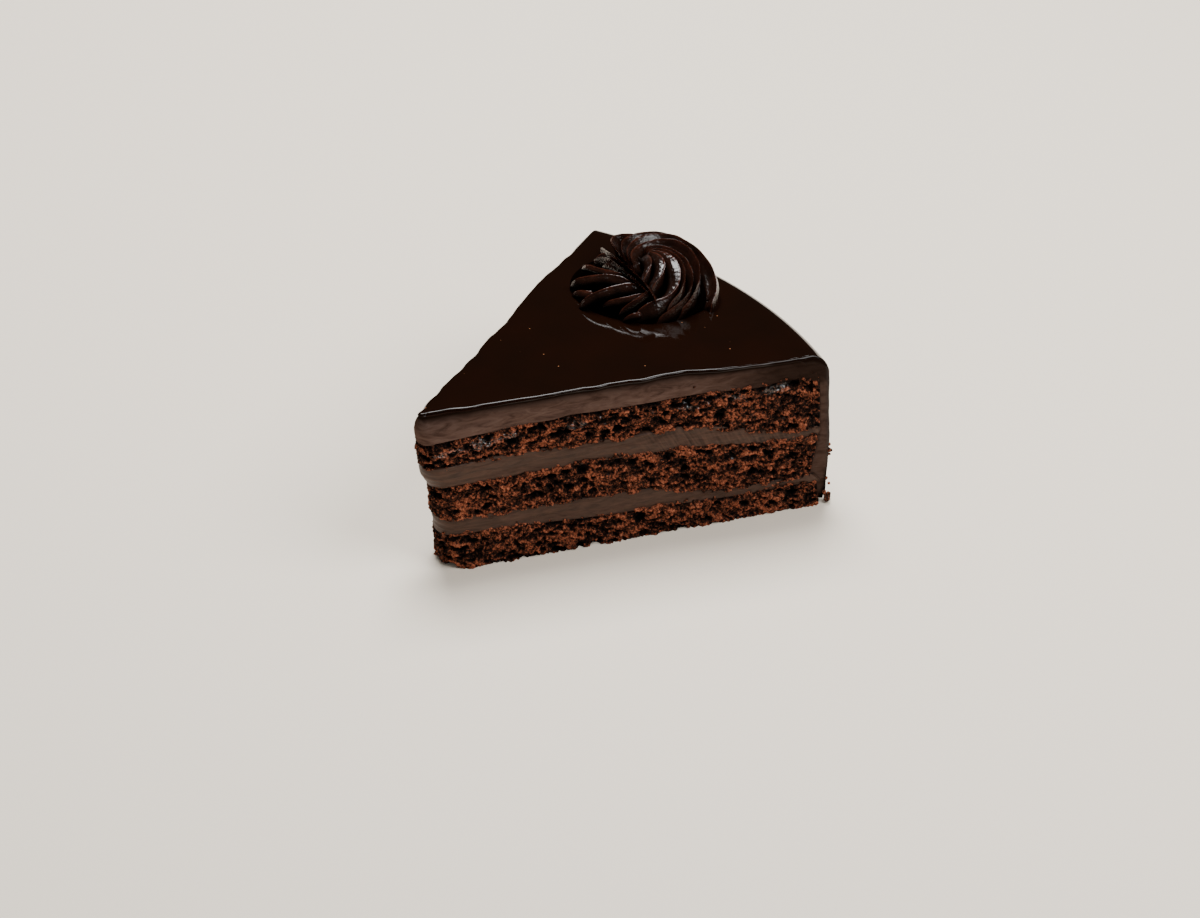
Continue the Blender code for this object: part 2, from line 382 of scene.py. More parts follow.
def sponge_material(look):
    """Cocoa sponge, baked and torn open by a knife: dull brown crumb with grains of their own tone, painted warm and
    then bright as painted light where it stands out, nearly black as painted shade in its hollows, with a thin wet
    film on a few lips that glints."""
    made, tree = started("baked_cocoa_sponge", IOR=1.45, Specular_IOR_Level=0.12, Coat_Roughness=0.12)
    relief_light_and_shade, tone, wet = (add(tree, "Attribute", output="Fac", attribute_name=name) for name in ("relief_light_and_shade", "tone", "wet"))
    where = {"Vector": add(tree, "TexCoord", output="Object")}
    fine = add(tree, "TexNoise", {"Scale": per(0.5), "Detail": 4.0, "Roughness": 0.75}, where)
    clump = add(tree, "TexNoise", {"Scale": per(3.5), "Detail": 2.0}, where)
    # The crumb's level: painted light and shade from how far it stands out, its own tone, the clump it is in and its
    # grain
    level = add(tree, "Math", {1: 0.45}, {0: tone, 2: relief_light_and_shade}, operation="MULTIPLY_ADD")
    level = add(tree, "Math", {1: 0.8}, {0: clump, 2: level}, operation="MULTIPLY_ADD")
    level = add(tree, "Math", {1: 3.0}, {0: fine, 2: level}, operation="MULTIPLY_ADD")
    shade = add(tree, "MapRange", {"From Min": 2.05, "From Max": 3.70}, {"Value": level})
    colour = add(
        tree, "ValToRGB", links={0: shade},
        stops=(
            (0.14, look.hollow), (1.0, look.crumb_highlight), (0.31, look.crumb_dark), (0.49, look.crumb),
            (0.74, look.crumb_warm),
        ),
    )
    moist = add(tree, "TexNoise", {"Scale": per(1.2), "Detail": 2.0}, where)
    damp = add(tree, "Math", {1: 0.40}, {0: wet, 2: moist}, operation="MULTIPLY_ADD")
    film = add(tree, "MapRange", {"From Min": 0.68, "From Max": 0.82}, {"Value": damp})
    rough = add(tree, "MapRange", {"From Min": 0.4, "From Max": 0.75, "To Min": 0.85, "To Max": 0.55}, {"Value": damp})
    bump = add(tree, "Bump", {"Strength": 1.0, "Distance": 0.7 * MM}, {"Height": fine})
    return joined(made, Base_Color=colour, Coat_Weight=film, Roughness=rough, Normal=bump)


def filling_material(look):
    """Chocolate filling, spread and then sliced: a satin grey brown, cloudy, with faint smears along the layer and
    short slanted strokes where the knife combed it."""
    made, tree = started("sliced_chocolate_filling", IOR=1.46, Specular_IOR_Level=0.22)
    run = add(tree, "Attribute", output="Vector", attribute_name="run")
    combed = add(tree, "Attribute", output="Fac", attribute_name="combed")
    long = add(tree, "Mapping", {"Scale": (per(6), per(1.1), per(20))}, {"Vector": run})
    smear = add(
        tree, "TexNoise", {"Scale": 1.0, "Detail": 5.0, "Roughness": 0.7, "Distortion": 0.8}, {"Vector": long}
    )
    strokes = add(
        tree, "Mapping", {"Rotation": (0, 0, math.radians(-24)), "Scale": (0.6 * MM, 6 * MM, 20 * MM)},
        {"Vector": run}, vector_type="TEXTURE",
    )
    knife = add(tree, "TexNoise", {"Scale": 1.0, "Detail": 2.0, "Distortion": 0.3}, {"Vector": strokes})
    even = add(tree, "Math", {1: 0.5}, {0: knife}, operation="SUBTRACT")
    cross = add(tree, "Math", links={0: even, 1: combed}, operation="MULTIPLY")
    both = add(tree, "Math", {1: 0.8}, {0: cross, 2: smear}, operation="MULTIPLY_ADD")
    colour = add(
        tree, "ValToRGB", links={0: both},
        stops=((0.28, look.filling_dark), (0.76, look.filling_pale), (0.50, look.filling)),
    )
    rough = add(tree, "MapRange", {"From Min": 0.3, "From Max": 0.7, "To Min": 0.40, "To Max": 0.60}, {"Value": smear})
    bump = add(tree, "Bump", {"Strength": 0.6, "Distance": 0.22 * MM}, {"Height": both})
    return joined(made, Base_Color=colour, Roughness=rough, Normal=bump)


def coat_material(look):
    """Ganache, poured warm and set: a nearly black mirror-smooth skin on top and on the wall, with a few specks of
    crumb. Where the knife went through, the attribute cut takes the skin off and gives the satin grey brown of sliced
    chocolate, cloudy, with faint smears. The attribute shade darkens it with painted shade towards the rim, under the
    edge and on the hidden inside, and makes the wall's cut end darker."""
    made, tree = started("poured_ganache", IOR=1.47, Specular_IOR_Level=0.0, Coat_IOR=1.30, Coat_Roughness=0.06)
    cut, shaded = (add(tree, "Attribute", output="Fac", attribute_name=name) for name in ("cut", "shade"))
    run = add(tree, "Attribute", output="Vector", attribute_name="run")
    where = {"Vector": add(tree, "TexCoord", output="Object")}
    long = add(tree, "Mapping", {"Scale": (per(6), per(1.6), per(20))}, {"Vector": run})
    smear = add(
        tree, "TexNoise", {"Scale": 1.0, "Detail": 6.0, "Roughness": 0.65, "Distortion": 1.2}, {"Vector": long}
    )
    sliced = add(
        tree, "ValToRGB", links={0: smear},
        stops=((0.30, look.sliced_dark), (0.75, look.sliced_pale), (0.50, look.sliced)),
    )
    mixed = {"data_type": "RGBA", "output": "Result"}
    sliced = add(tree, "Mix", {"B": (*look.sliced_shade, 1)}, {"Factor": shaded, "A": sliced}, **mixed)
    cloud = add(tree, "TexNoise", {"Scale": per(18), "Detail": 3.0}, where)
    glaze = add(tree, "ValToRGB", links={0: cloud}, stops=((0.3, look.glaze), (0.7, look.glaze_warm)))
    dust = add(tree, "TexVoronoi", {"Scale": per(4.2), "Randomness": 1.0}, where)
    speck = add(tree, "MapRange", {"From Min": 0.03, "From Max": 0.05, "To Min": 1.0, "To Max": 0.0}, {"Value": dust})
    glaze = add(tree, "Mix", {"B": (*look.speck, 1)}, {"Factor": speck, "A": glaze}, **mixed)
    colour = add(tree, "Mix", links={"Factor": cut, "A": glaze, "B": sliced}, **mixed)
    rough = add(tree, "Mix", {"A": 0.45, "B": 0.48}, {"Factor": cut}, output="Result", data_type="FLOAT")
    skin = add(tree, "Math", {0: 1.0}, {1: cut}, operation="SUBTRACT")
    height = add(tree, "Math", links={0: smear, 1: cut}, operation="MULTIPLY")
    bump = add(tree, "Bump", {"Strength": 0.5, "Distance": 0.22 * MM}, {"Height": height})
    return joined(made, Base_Color=colour, Roughness=rough, Coat_Weight=skin, Normal=bump)


def rosette_material(look):
    """Whipped ganache, piped through a star nozzle: very dark and shiny, with painted light in brown on its thin
    crests and painted shade deep in its grooves, where it is also duller, with a fine grain of burst bubbles that
    breaks the highlights up."""
    made, tree = started("piped_ganache", IOR=1.47, Specular_IOR_Level=0.0, Coat_IOR=1.45, Coat_Roughness=0.16)
    where = {"Vector": add(tree, "TexCoord", output="Object")}
    crest = add(tree, "Attribute", output="Fac", attribute_name="crest")
    cloud = add(tree, "TexNoise", {"Scale": per(4), "Detail": 3.0}, where)
    # Painted light on the crests and painted shade in the grooves, varied by a cloud of tone
    thin = add(tree, "Math", {1: 0.5}, {0: crest, 2: cloud}, operation="MULTIPLY_ADD")
    colour = add(
        tree, "ValToRGB", links={0: thin},
        stops=((0.1, look.piped_groove_shade), (1.0, look.piped_crest_light), (0.35, look.piped), (0.65, look.piped_warm)),
    )
    shine = add(tree, "MapRange", {"From Min": -0.9, "From Max": -0.1}, {"Value": crest})
    grain = add(tree, "TexNoise", {"Scale": per(0.6), "Detail": 2.0}, where)
    rough = add(tree, "MapRange", {"From Min": 0.35, "From Max": 0.7, "To Min": 0.3, "To Max": 0.42}, {"Value": cloud})
    bump = add(tree, "Bump", {"Strength": 0.7, "Distance": 0.18 * MM}, {"Height": grain})
    return joined(made, Base_Color=colour, Coat_Weight=shine, Roughness=rough, Normal=bump, Coat_Normal=bump)


# ---------------------------------------------------------------- the layers

LAYER_MIDDLE = np.array([55.0, 0.0])  # towards which a layer closes above and below its side


def tip_bulge(height, distance):
    """How far the tip stands out of the CAD's even cone, in mm: most under the glaze, where the coat ran over the
    point, falling off within a few mm of the tip."""
    profile = ease(20.0, 27.0, height) * (1 - 0.85 * ease(37.5, 42.4, height))
    return 1.7 * profile * bell(distance, 9.0)


def side_rows(level, rows, way, low_edge, high_edge, shrink):
    """Points up the side of a layer, before any relief, their outward directions and their shares of the way up.

    level is the layer's place in LEVELS. Each column's heights run evenly from the surface below the layer less
    low_edge to its own surface plus high_edge, and each point lies on the slice's outline at its height.
    """
    along, across = way[:2]
    bottom = surface_height(LEVELS[level - 1], along, across) - low_edge
    top = surface_height(LEVELS[level], along, across) + high_edge
    share = np.linspace(0.0, 1.0, rows)[:, None]
    height = np.maximum(mix(bottom, top, share), 0.0)
    inside = mix(wall_radius(level - 1, across), wall_radius(level, across), share) - shrink
    plan = slice_point(along, across, height, inside)
    out = outward(plan)
    distance = np.where(along < 0.5, along * CUT_LENGTH, FAR_AWAY)
    plan = plan + out * tip_bulge(height, distance)[..., None]
    return raised(plan, height), out, share


def closed_layer(title, side, attributes, material, node):
    """A layer's side, closed by two rows below and above it that run in towards its middle, and by a pole. These rows
    take the attributes of the side's first and last row."""
    def inwards(row, shares):
        level = np.repeat(row[None], len(shares), 0)
        level[..., :2] += (LAYER_MIDDLE - level[..., :2]) * np.array(shares)[:, None, None]
        return level

    grid = np.concatenate([inwards(side[0], (0.35, 0.05)), side, inwards(side[-1], (0.05, 0.35))])
    poles = [np.array([*LAYER_MIDDLE, row[:, 2].mean()]) for row in (grid[0], grid[-1])]
    padded = {
        key: [np.pad(values, ((2, 2), *((0, 0),) * (values.ndim - 1)), mode="edge")]
        for key, values in attributes.items()
    }
    return closed_surface(title, [(grid, *poles)], padded, material, [node])


def sponge(name, seed, look):
    """A sponge layer: the slice's outline between two surfaces, with crumb relief on its cut faces.

    The relief pushes points out along the outward direction by scattered grains of two sizes and smooth noise,
    and in by round hollows of three sizes that lie flat. Above and below, the layer reaches into its neighbours
    and tapers inwards, so its ragged crumb is what draws the border. By the rim it is notched here and there. The
    top layer has larger hollows and a wet band under the ganache.
    """
    level = LEVELS.index(name)
    way = way_round(511, 60, np.linspace(0.0, 1.0, 42, endpoint=False))
    along, _across, run, stretch = way
    foot = stacked(run, 0.0, seed)
    waver = 0.45 * drift(foot, 5.0, seed + 1) + 0.3 * drift(foot, 1.7, seed + 2)
    low_edge = 0.8 + 0.4 * drift(foot, 3.5, seed + 3) if level > 1 else 0.0
    rows = {"sponge_top": 72, "sponge_middle": 70, "sponge_bottom": 58}[name]
    side, out, share = side_rows(level, rows, way, low_edge, 0.8 + waver, 0.2)

    # Relief, in mm
    warp = np.stack([drift(side, 1.5, seed + 10 + k) for k in range(3)], -1)
    flat = side * np.array([1.0, 1.0, 1.75]) + 0.55 * warp
    large = hollows(flat, 3.4, seed + 20, 0.50, 0.22, 0.50) * 3.4
    middle = hollows(flat, 1.9, seed + 30, 0.70, 0.20, 0.55) * 1.9
    small = hollows(flat, 0.95, seed + 40, 0.80, 0.22, 0.52) * 0.95
    grain, tone = grains(side + 0.2 * warp, (0.80, 0.80, 0.58), seed + 50)
    crumb, fleck = grains(side, (0.42, 0.42, 0.34), seed + 60)
    relief = 0.32 * (1 - (grain / 0.75) ** 2) + 0.20 * (1 - (crumb / 0.7) ** 2)
    relief += 0.40 * drift(flat, 2.4, seed + 70) + 0.24 * drift(flat, 1.1, seed + 71)
    dug = np.maximum(np.maximum(1.1 * large, 0.9 * middle), 0.7 * small)

    # Edges, by how far a point lies below the layer's top and above its foot
    span = side[-1, :, 2] - side[0, :, 2]
    below_top = (1 - share) * span + 0.5 * (tone - 0.5)
    above_foot = share * span + 0.5 * (fleck - 0.5)
    from_rim = (1 - along) * CUT_LENGTH + FAR_AWAY * (stretch == 3)
    wet = np.zeros(below_top.shape)
    if name == "sponge_top":
        band = bell(below_top - 2.0, 0.9)
        dug = np.maximum(dug, 1.6 * band * hollows(flat + 7.0, 2.6, seed + 90, 0.75, 0.25, 0.55) * 2.6)
        wet = bell(below_top - 2.9, 1.0) * ease(-0.3, 0.4, drift(flat, 5.0, seed + 91))
        wet = wet * ease(3.0, 6.0, from_rim)
    height = relief - dug
    shown = np.where(stretch == 3, 0.0, 1.0)
    tuck = 1.5 * (1 - ease(0.1, 1.0, below_top)) + (level > 1) * 1.5 * (1 - ease(0.1, 1.0, above_foot))
    notch = 0.55 * ease(-0.1, 0.4, drift(flat, 2.4, seed + 95)) * (1 - ease(1.0, 4.0, from_rim))
    push = (height - notch) * shown * ease(0.0, 0.012, 1 - along) - tuck
    side[..., :2] += out * push[..., None]
    side[..., 2] += 0.16 * drift(side, 0.8, seed + 80) * shown * (side[..., 2] > 0.3)
    side[..., 2] = np.maximum(side[..., 2], 0.0)
    # How far each point stands out, which paints light on the high crumb and shade in the hollows
    looks = {"relief_light_and_shade": ease(-0.70, 0.70, height), "tone": mix(tone, fleck, 0.4), "wet": wet}
    return closed_layer(name + "_crumb", side, looks, look, name)


def filling(name, seed, look):
    """A filling layer: the slice's outline between two surfaces, smooth, with shallow level ledges.

    The relief is smooth noise stretched along the cut, plus scattered small pits. At the rim the layer runs a little
    way over the coat's wall and dives into it.
    """
    level = LEVELS.index(name)
    way = way_round(330, 48, np.linspace(0.0, 1.0, 42, endpoint=False))
    along, _across, run, stretch = way
    side, out, _share = side_rows(level, 26, way, 0.5, 0.5, -1.4)
    place = stacked(run, side[..., 2], seed)
    relief = 0.22 * drift(place, (14.0, 1.1, 9.0), seed) + 0.10 * drift(place, (5.0, 0.5, 9.0), seed + 1)
    relief += 0.16 * drift(place, (9.0, 6.0, 9.0), seed + 2)
    pit = hollows(place, (2.6, 2.6, 40.0), seed + 3, 0.07, 0.08, 0.16) * 2.6
    end = 0.5 * (1 - ease(0.0, 1.2, (1 - along) * CUT_LENGTH))
    side[..., :2] += out * ((relief - pit - 0.05 - end) * (stretch < 3))[..., None]
    combed = ease(0.45, 0.6, along) * (stretch == 0) * (name == "filling_upper")
    looks = {"run": stacked(run, side[..., 2], 0.0) * MM, "combed": np.tile(combed, (len(side), 1))}
    return closed_layer(name + "_spread", side, looks, look, name)


# ---------------------------------------------------------------- the coat

EDGE_RADIUS = 0.6  # of the glaze where the knife went through it
COAT_ROWS = 30
CUT_COLUMNS = 368
TIP_COLUMNS = 40
MIDDLE = np.array([56.0, 0.0])  # where the coat's columns meet on top
MIDDLE_TO_CUT = 23.0  # mm, roughly
MIDDLE_TO_RIM = 45.0
STRAIGHT_FROM = 60  # how many columns from the rim a cut runs straight, clear of the rounded corner
GLAZE_INSETS = (0.8, 1.0, 1.3, 1.6, 2.0, 2.5, 3.1, 3.8, 4.6, 5.5, 6.5, 8.0)  # mm in from the edge, past its rounding


def rounding(distance, radius):
    """How much lower a rounded edge lies at a distance in from it: a quarter circle of this radius."""
    left = np.clip(radius - distance, 0.0, radius)
    return radius - np.sqrt(np.maximum(radius**2 - left**2, 0.0))


def plan_shares(plan):
    """The shares along and across at which a point lies in the slice, near enough for the heights of the glaze."""
    from_axis = np.linalg.norm(plan - CAKE_AXIS, axis=-1)
    along = np.clip((from_axis - 13.0) / (CAKE_RADIUS - 13.0), 0.0, 1.0)
    angle = np.arctan2(plan[..., 1], plan[..., 0] + 4.0)
    return along, np.clip(0.5 + angle / (2 * CUT_HALF_ANGLE), 0.0, 1.0)


def glaze_height(plan):
    """The glaze at points in plan, without its edges, with very low waves where it ran and set."""
    waves = 0.10 * drift(raised(plan, 0.0), 26.0, 5)
    return surface_height("ganache_coat", *plan_shares(plan)) + waves - 0.05


def edge_distance(plan, near_line, far_line):
    """How far inside the cut outline a point lies: the least distance to the two straight cuts, or round the tip the
    distance to its small circle."""
    gaps = []
    for first, last in (near_line, far_line):
        way = (last - first) / np.linalg.norm(last - first)
        offset = plan - first
        gaps.append(offset[..., 0] * way[1] - offset[..., 1] * way[0])
    offset = plan - np.array([TIP_TOP_RADIUS / math.sin(CUT_HALF_ANGLE), 0.0])
    in_tip = np.abs(np.arctan2(offset[..., 1], offset[..., 0])) > math.pi / 2 + CUT_HALF_ANGLE
    gap = np.where(in_tip, TIP_TOP_RADIUS - np.linalg.norm(offset, axis=-1), np.minimum(*gaps))
    return np.maximum(gap, 0.0)


def coat(look):
    """The ganache coat: cut faces, edges, glaze and wall in one closed skin.

    Every column starts inside the coat, turns round its lower border, goes up the cut face or the wall, over the
    rounded edge and in across the glaze to one middle point. The glaze is a height over the plan, lowered near
    the cuts by a small quarter circle and near the rim by the large one of the shoulder, with a low lip by the cuts.
    """
    dense = np.linspace(0.0, 0.05, 17, endpoint=False)
    rim_shares = np.concatenate([dense, np.linspace(0.05, 0.95, 76, endpoint=False), 1 - dense[::-1] - dense[1]])
    along, across, run, stretch = way_round(CUT_COLUMNS, TIP_COLUMNS, rim_shares)
    near, far, is_cut = stretch == 0, stretch == 2, np.where(stretch == 3, 0.0, 1.0)
    from_rim = (1 - along) * CUT_LENGTH
    from_tip = np.where(is_cut > 0, along * CUT_LENGTH, FAR_AWAY)
    from_corner = np.where(stretch == 3, np.minimum(across, 1 - across) * RIM_LENGTH, from_rim)
    place = stacked(run, 0.0, 0.0)
    wave = 0.50 * drift(place, 9.0, 11) + 0.26 * drift(place, 3.6, 12)
    wave = wave * np.where(far, 1.2, 1.0) * ease(0.0, 4.0, from_corner)

    # The sides start at the ragged border with the sponge, and at the foot along the rim and by its corners
    border = surface_height("sponge_top", along, across) + 0.45 * drift(place, 6.0, 13) - 0.7
    border -= near * 0.9 * bell(from_tip - 78.0, 9.0)
    near_corner = bell(from_corner, 4.0) * (across < 0.5)
    foot = 0.25 + 0.35 * (drift(place, 3.0, 14) + 1) / 2 + 0.7 * near_corner
    down = np.where(stretch == 3, 1.0, 1 - ease(5.5, 7.5, from_rim))
    low = mix(border, foot, down)

    def edge_plan(height):
        """The outline at this height, with its two corners at the rim rounded by a few rounds of smoothing."""
        plan = slice_point(along, across, height, np.full(run.shape, CAKE_RADIUS))
        for _ in range(3):
            smooth = (np.roll(plan, 1, axis=-2) + 2 * plan + np.roll(plan, -1, axis=-2)) / 4
            plan = mix(plan, smooth, (1 - ease(2.0, 4.0, from_corner))[:, None])
        return plan

    outline = edge_plan(np.full(run.shape, 42.0))
    far_first = CUT_COLUMNS + TIP_COLUMNS
    near_line = (outline[STRAIGHT_FROM], outline[CUT_COLUMNS - 1])
    far_line = (outline[far_first], outline[far_first + CUT_COLUMNS - STRAIGHT_FROM])

    def top_height(plan):
        """The glaze with both of its rounded edges."""
        rim = np.maximum(CAKE_RADIUS - np.linalg.norm(plan - CAKE_AXIS, axis=-1), 0.0)
        gap = edge_distance(plan, near_line, far_line)
        lip = 0.04 * bell(gap - 1.0, 0.7) * ease(0.0, 6.0, rim)
        return glaze_height(plan) + lip - rounding(gap, EDGE_RADIUS) - rounding(rim, SHOULDER_RADIUS)

    edge_top = top_height(outline)

    # Sides, from the lower border to the edge, with their relief in mm
    height = mix(low, edge_top, np.linspace(0.0, 1.0, COAT_ROWS)[:, None])
    side = np.stack([edge_plan(row) for row in height])
    out = outward(side)
    side = side + out * tip_bulge(height, from_tip)[..., None]
    below_edge = edge_top - height
    spots = stacked(run, height, 0.0)
    smear = 0.10 * drift(spots, (9.0, 1.6, 9.0), 15) + 0.14 * drift(spots, (9.0, 7.0, 9.0), 16)
    pit = hollows(spots, (2.2, 2.2, 40.0), 18, 0.06, 0.08, 0.16) * 2.2
    under_bead = 0.26 * bell(below_edge - 0.7, 0.5)
    tuck = 1.3 * (1 - ease(0.0, 1.2, height - low)) * (1 - down)
    wall = np.where(near, np.interp(height, [0, 7, 9.5, 19.3, 21.4, 36], WALL_NEAR), 2.8)
    past_wall = from_rim - wall
    behind = 0.9 * ease(-0.1, 0.6, past_wall) * (1 - ease(34.0, 35.4, height)) * (near | far)
    wavy = wave * bell(below_edge, 2.5)
    hollow_foot = 0.6 * (1 - ease(0.0, 2.5, height - foot)) * down
    hollow_foot += 1.3 * (1 - ease(0.0, 16.0, height)) * bell(from_corner, 9.0) * (across < 0.5)
    wall_wave = 0.25 * drift(raised(side, height), (7.0, 7.0, 14.0), 17)
    push = is_cut * (smear - pit - under_bead - tuck - behind + wavy) + (1 - is_cut) * wall_wave - hollow_foot
    side = raised(side + out * push[..., None], height)

    # Rounded edge and glaze, going in towards the middle
    facing = outward(outline)
    to_middle = mix(MIDDLE_TO_CUT, MIDDLE_TO_RIM, ease(-12.0, 12.0, np.where(stretch == 3, from_corner, -from_rim)))
    edge_turn = np.linspace(0.0, math.pi / 2, 10)[1:]
    top = []
    for inset in (*(EDGE_RADIUS * (1 - np.cos(edge_turn))), *GLAZE_INSETS):
        plan = mix(outline, MIDDLE, (inset / to_middle)[:, None])
        z = top_height(plan)
        plan = plan + facing * (wave * is_cut * bell(inset, 2.5))[:, None]
        top.append(raised(plan, z))
    last = top[-1][:, :2]
    for share in (0.06, 0.14, 0.26, 0.42, 0.60, 0.78, 0.92):
        plan = mix(last, MIDDLE, share)
        top.append(raised(plan, top_height(plan)))

    # Inside, from under the glaze down the inner wall to the lower border
    inner = []
    for inset, lift in ((3.0, 1.0), (2.8, 0.0), (1.6, 0.0)):
        plan = mix(side[0, :, :2], MIDDLE, (inset * mix(0.7, 1.0, is_cut) / to_middle)[:, None])
        z = np.where(down > 0.5, mix(low, 35.0, lift), np.minimum(low + 0.2, 35.0))
        inner.append(raised(plan, z))
    grid = np.concatenate([np.stack(inner), side, np.stack(top)])

    # Where the skin is cut off, and how dark the cut is: painted shade towards the rim and right under the edge, and
    # darker on the wall's end
    rows = slice(len(inner), len(inner) + COAT_ROWS)
    cut, shade = np.zeros((2, *grid.shape[:2]))
    # The hidden inside takes the matte cut finish and full painted shade, so it shows dark through any gap
    cut[: len(inner)], shade[: len(inner)] = 1.0, 1.0
    cut[rows] = is_cut * ease(0.0, 1.3, from_corner) * (1 - ease(-0.25, 0.15, -below_edge))
    # Painted shade growing towards the rim
    rim_shade = 0.85 * ease(52.0, 84.0, from_tip) * ease(32.0, 35.0, height) * (stretch < 2)
    wall_end = 0.44 * (1 - ease(0.0, 1.0, past_wall)) * (1 - ease(33.0, 36.0, height))
    # Painted shade right under the rounded edge
    edge_shade = 0.8 * bell(below_edge, 1.1) + 0.3 * ease(5.0, 1.0, below_edge)
    shade[rows] = np.clip(np.maximum(np.maximum(rim_shade, wall_end), edge_shade), 0.0, 1.0)
    poles = np.array([*MIDDLE, 35.0]), np.array([*MIDDLE, *glaze_height(MIDDLE[None])])
    return closed_surface(
        "ganache_coat_glazed", [(grid, *poles)],
        {"cut": [cut], "shade": [shade], "run": [stacked(run, grid[..., 2], 0.0) * MM]},
        look, ["ganache_coat"],
    )


# ---------------------------------------------------------------- the rosette

ROSETTE_TURN = math.radians(-39.75)  # of its own u axis, from +X
ROSETTE_OFFSET = np.array([0.65, 0.72])  # its drawing origin, from the middle of the CAD rosette's box
ROSETTE_CENTRE = np.array([0.4, -1.9])
ROSETTE_HALF = np.array([18.3, 16.4])
EYE = np.array([0.2, -1.2])
# The rope's ribs from the eye outwards: each one's crest as points (u, v, height), clockwise as seen from above
RIBS = (
    ((0.6, -0.2, 8.6), (2.0, -3.2, 9.6), (2.3, -6.9, 10.0), (1.6, -9.4, 9.3), (-0.2, -11.6, 8.0)),
    ((0.9, 0.3, 9.0), (3.4, -1.3, 9.7), (5.2, -4.8, 10.1), (5.6, -8.2, 9.6), (4.4, -11.2, 8.4), (1.7, -13.4, 6.6)),
    ((1.0, 0.8, 9.2), (4.3, -0.6, 9.8), (6.9, -2.9, 10.2), (8.6, -5.9, 10.0), (9.3, -9.0, 8.9), (8.9, -12.1, 7.2),
     (6.6, -14.9, 5.5), (2.6, -16.3, 4.8), (-0.9, -17.1, 3.8), (-2.6, -17.6, 2.3)),
    ((0.6, 1.1, 9.3), (3.1, 1.0, 9.7), (6.2, -0.4, 10.1), (8.9, -3.6, 10.2), (10.2, -8.0, 9.8), (10.4, -11.6, 8.6),
     (9.2, -14.6, 6.4), (5.6, -17.2, 4.0)),
    ((0.2, 1.6, 9.4), (3.4, 2.2, 9.9), (7.2, 0.6, 10.2), (10.6, -3.8, 9.9), (12.2, -8.2, 9.0), (12.2, -11.8, 7.2),
     (10.2, -15.0, 4.9), (6.5, -17.3, 2.9), (2.7, -18.6, 0.8)),
    ((-2.1, -7.6, 9.6), (-3.1, -3.0, 9.4), (-2.6, 0.4, 9.6), (0.2, 3.4, 9.9), (4.3, 5.0, 10.1), (8.4, 5.0, 9.9),
     (12.0, 1.0, 9.7), (13.9, -4.6, 9.1), (14.0, -9.4, 7.6), (12.2, -13.4, 4.9), (9.2, -16.3, 2.2), (5.1, -18.0, 0.3)),
    ((-2.5, -7.9, 9.5), (-3.7, -2.9, 9.2), (-4.0, 1.4, 9.3), (-1.6, 5.6, 9.9), (3.1, 8.4, 9.8), (8.6, 8.2, 9.2),
     (13.6, 4.0, 8.2), (17.1, -1.0, 6.2), (18.4, -6.0, 4.2), (17.9, -10.0, 3.2), (16.5, -13.0, 1.8)),
    ((-2.8, -7.9, 9.3), (-4.4, -2.4, 9.0), (-5.3, 1.8, 8.7), (-5.0, 7.2, 8.3), (-1.6, 10.6, 8.3), (4.0, 11.4, 8.3),
     (9.6, 9.8, 7.6), (14.4, 5.4, 6.2)),
    ((-3.2, -7.2, 9.2), (-5.0, -1.4, 8.6), (-6.6, 3.6, 7.7), (-8.0, 9.6, 6.4), (-6.9, 14.0, 5.6), (-2.6, 14.8, 5.6),
     (3.0, 13.6, 4.8)),
    ((3.2, -17.0, 5.6), (0.6, -14.4, 8.8), (-3.1, -9.0, 9.7), (-5.2, -4.0, 8.7), (-7.2, 1.6, 7.0), (-8.8, 5.8, 5.6),
     (-10.5, 10.3, 4.5)),
    ((0.9, -15.4, 7.6), (-1.4, -13.4, 8.7), (-4.2, -8.6, 8.7), (-6.4, -3.0, 7.4), (-8.4, 2.4, 5.6), (-10.4, 4.7, 4.6),
     (-12.1, 5.7, 3.5)),
)
# Each rib's shape: the greatest width of its inner side, the same at its end, the width of its outer side there, the
# length over which its end rounds off, how far it is a blade with hollow flanks instead of a round lobe, and how
# steeply its inner side falls from the crest
RIB_SHAPES = (
    (1.7, 1.7, 0.5, 2.0, 0.0, -0.4), (2.6, 2.6, 0.5, 2.0, 0.0, -0.4), (3.0, 1.2, 2.6, 7.0, 0.0, -0.4),
    (1.6, 0.9, 0.7, 3.0, 0.6, 0.1), (2.0, 2.0, 0.8, 3.0, 0.6, 0.5), (2.6, 1.0, 0.6, 3.0, 0.9, 0.6),
    (2.8, 3.4, 0.8, 0.9, 0.9, 0.6), (2.4, 1.4, 0.5, 2.0, 0.9, 0.6), (2.0, 1.2, 0.5, 2.0, 0.9, 0.6),
    (1.2, 1.1, 0.4, 2.0, 0.6, 0.3), (1.2, 1.1, 0.5, 2.0, 0.6, 0.3),
)
LOBE_COLUMNS = 34
VALLEY_RIB = 6  # the rib that ends in a broad hollow at the right
VALLEY_DEPTH = 0.9
BUBBLE = (16.2, -9.4)  # where one burst, in that hollow
